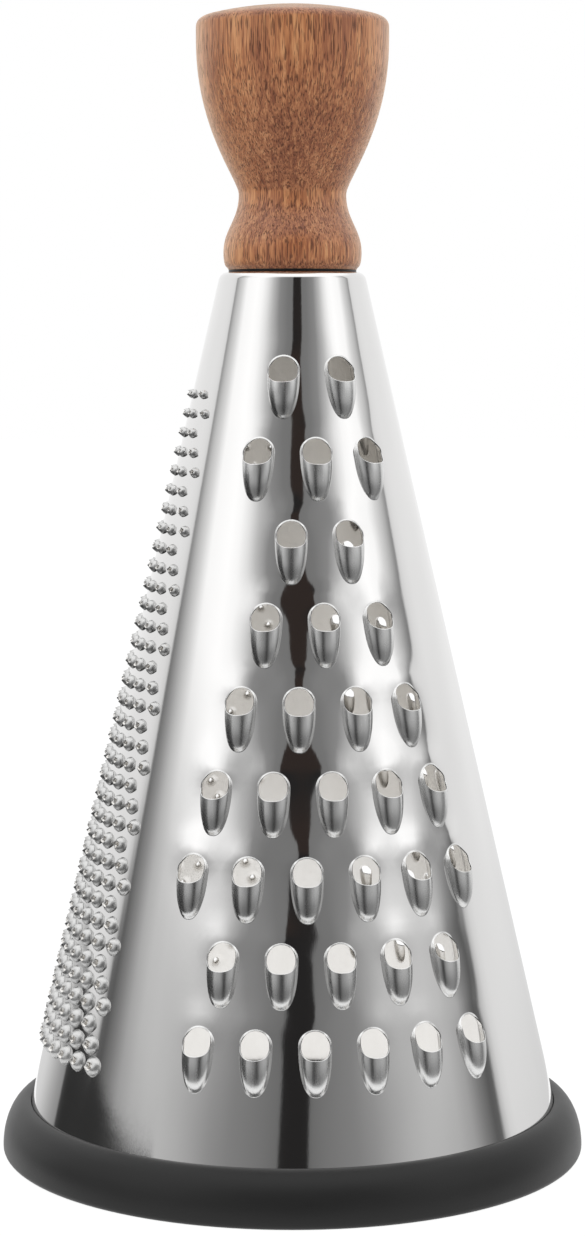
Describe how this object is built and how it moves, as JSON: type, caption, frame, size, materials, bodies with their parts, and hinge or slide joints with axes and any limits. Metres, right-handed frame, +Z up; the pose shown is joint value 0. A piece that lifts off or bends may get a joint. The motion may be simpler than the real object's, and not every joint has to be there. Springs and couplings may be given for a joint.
{
  "type": "cone grater",
  "caption": "Hand grater: a tall steel cone with zones of coarse teeth, medium teeth and fine burrs, standing on a black base ring, with a turned wooden knob screwed to its top.",
  "frame": {"origin": "middle of the base ring's underside", "axes": "+Z up the cone's axis, -Y out of the middle of the front, where the coarse teeth are, +X to the right seen from the front"},
  "size_m": [0.115, 0.115, 0.2236],
  "materials": {
    "steel": "polished stainless sheet",
    "ring_rubber": "matte",
    "seal_rubber": "matte",
    "wood": "oiled, open pores",
    "brass": "turned",
    "zinc_steel": "zinc plated"
  },
  "bodies": {
    "grater": {"grater_cone": "steel", "base_ring": "ring_rubber", "handle_screw": "zinc_steel", "lock_washer": "zinc_steel", "flat_washer": "zinc_steel"},
    "seal": {"handle_seal": "seal_rubber"},
    "handle": {"wood_handle": "wood", "threaded_insert": "brass"}
  },
  "joints": [
    {"name": "handle_lift", "type": "slide", "parent": "grater", "child": "seal", "axis": [0, 0, 1], "range_m": [0, 0.011]},
    {"name": "handle_turn", "type": "hinge", "parent": "seal", "child": "handle", "pos_m": [0, 0, 0.1735], "axis": [0, 0, 1], "range_deg": [0, 3960]}
  ],
  "couplings": [
    {"joint": "handle_lift", "follows": "handle_turn", "m_per_rad": 0.00015915}
  ]
}
